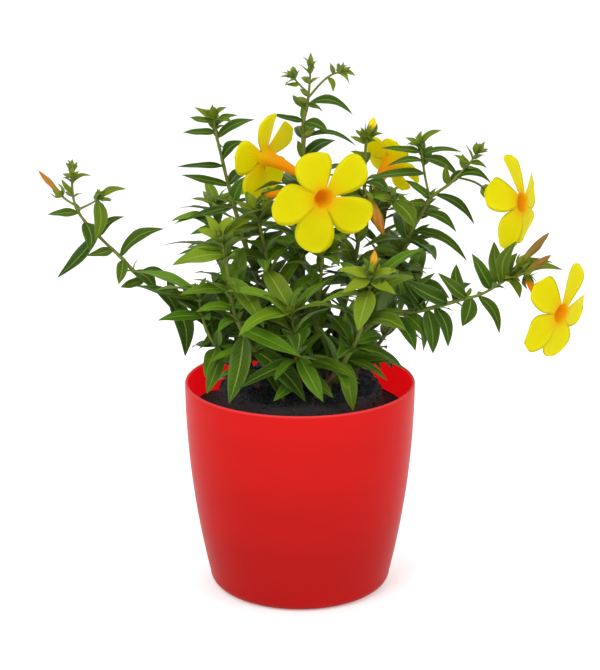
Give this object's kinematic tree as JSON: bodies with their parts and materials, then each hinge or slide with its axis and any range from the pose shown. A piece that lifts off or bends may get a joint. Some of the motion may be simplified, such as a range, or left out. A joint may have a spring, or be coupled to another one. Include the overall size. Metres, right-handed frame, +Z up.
{
  "type": "potted allamanda",
  "caption": "Flowering allamanda with glossy pointed leaves on arching stems and yellow funnel-shaped blooms, standing in a filled, tapered round plastic pot.",
  "frame": {"origin": "middle of the pot's flat base, on the surface that it stands on", "axes": "+Z up, +X towards the right-hand flowers, -Y towards the front flower"},
  "size_m": [0.4545, 0.2573, 0.4632],
  "materials": {
    "pot_plastic": "satin moulded red plastic",
    "potting_soil": "loose dark potting mix of peat and bark, matt",
    "foliage": "glossy green leaves on green to brown stems",
    "petals": "soft satin yellow petals with an orange throat",
    "buds": "satin orange-brown flower buds"
  },
  "bodies": {
    "root": {"pot": "pot_plastic", "soil": "potting_soil", "stem_left": "foliage", "stem_tall_left": "foliage", "stem_front_left": "foliage", "stem_top": "foliage", "stem_mid_right": "foliage", "stem_right_upper": "foliage", "stem_right_lower": "foliage", "stem_front_right": "foliage", "stem_mid_left": "foliage", "stem_low_front": "foliage", "stem_low_left": "foliage", "stem_back_left": "foliage", "stem_back": "foliage", "stem_back_right": "foliage", "stem_low_right": "foliage", "stem_middle": "foliage", "bloom_front": "petals", "bloom_left": "petals", "bloom_behind": "petals", "bloom_right_upper": "petals", "bloom_right_lower": "petals", "bud_left": "buds", "bud_orange_drooping": "buds", "bud_yellow_top": "buds", "bud_right_long": "buds", "bud_right_short": "buds", "bud_orange_front": "buds"}
  },
  "joints": []
}
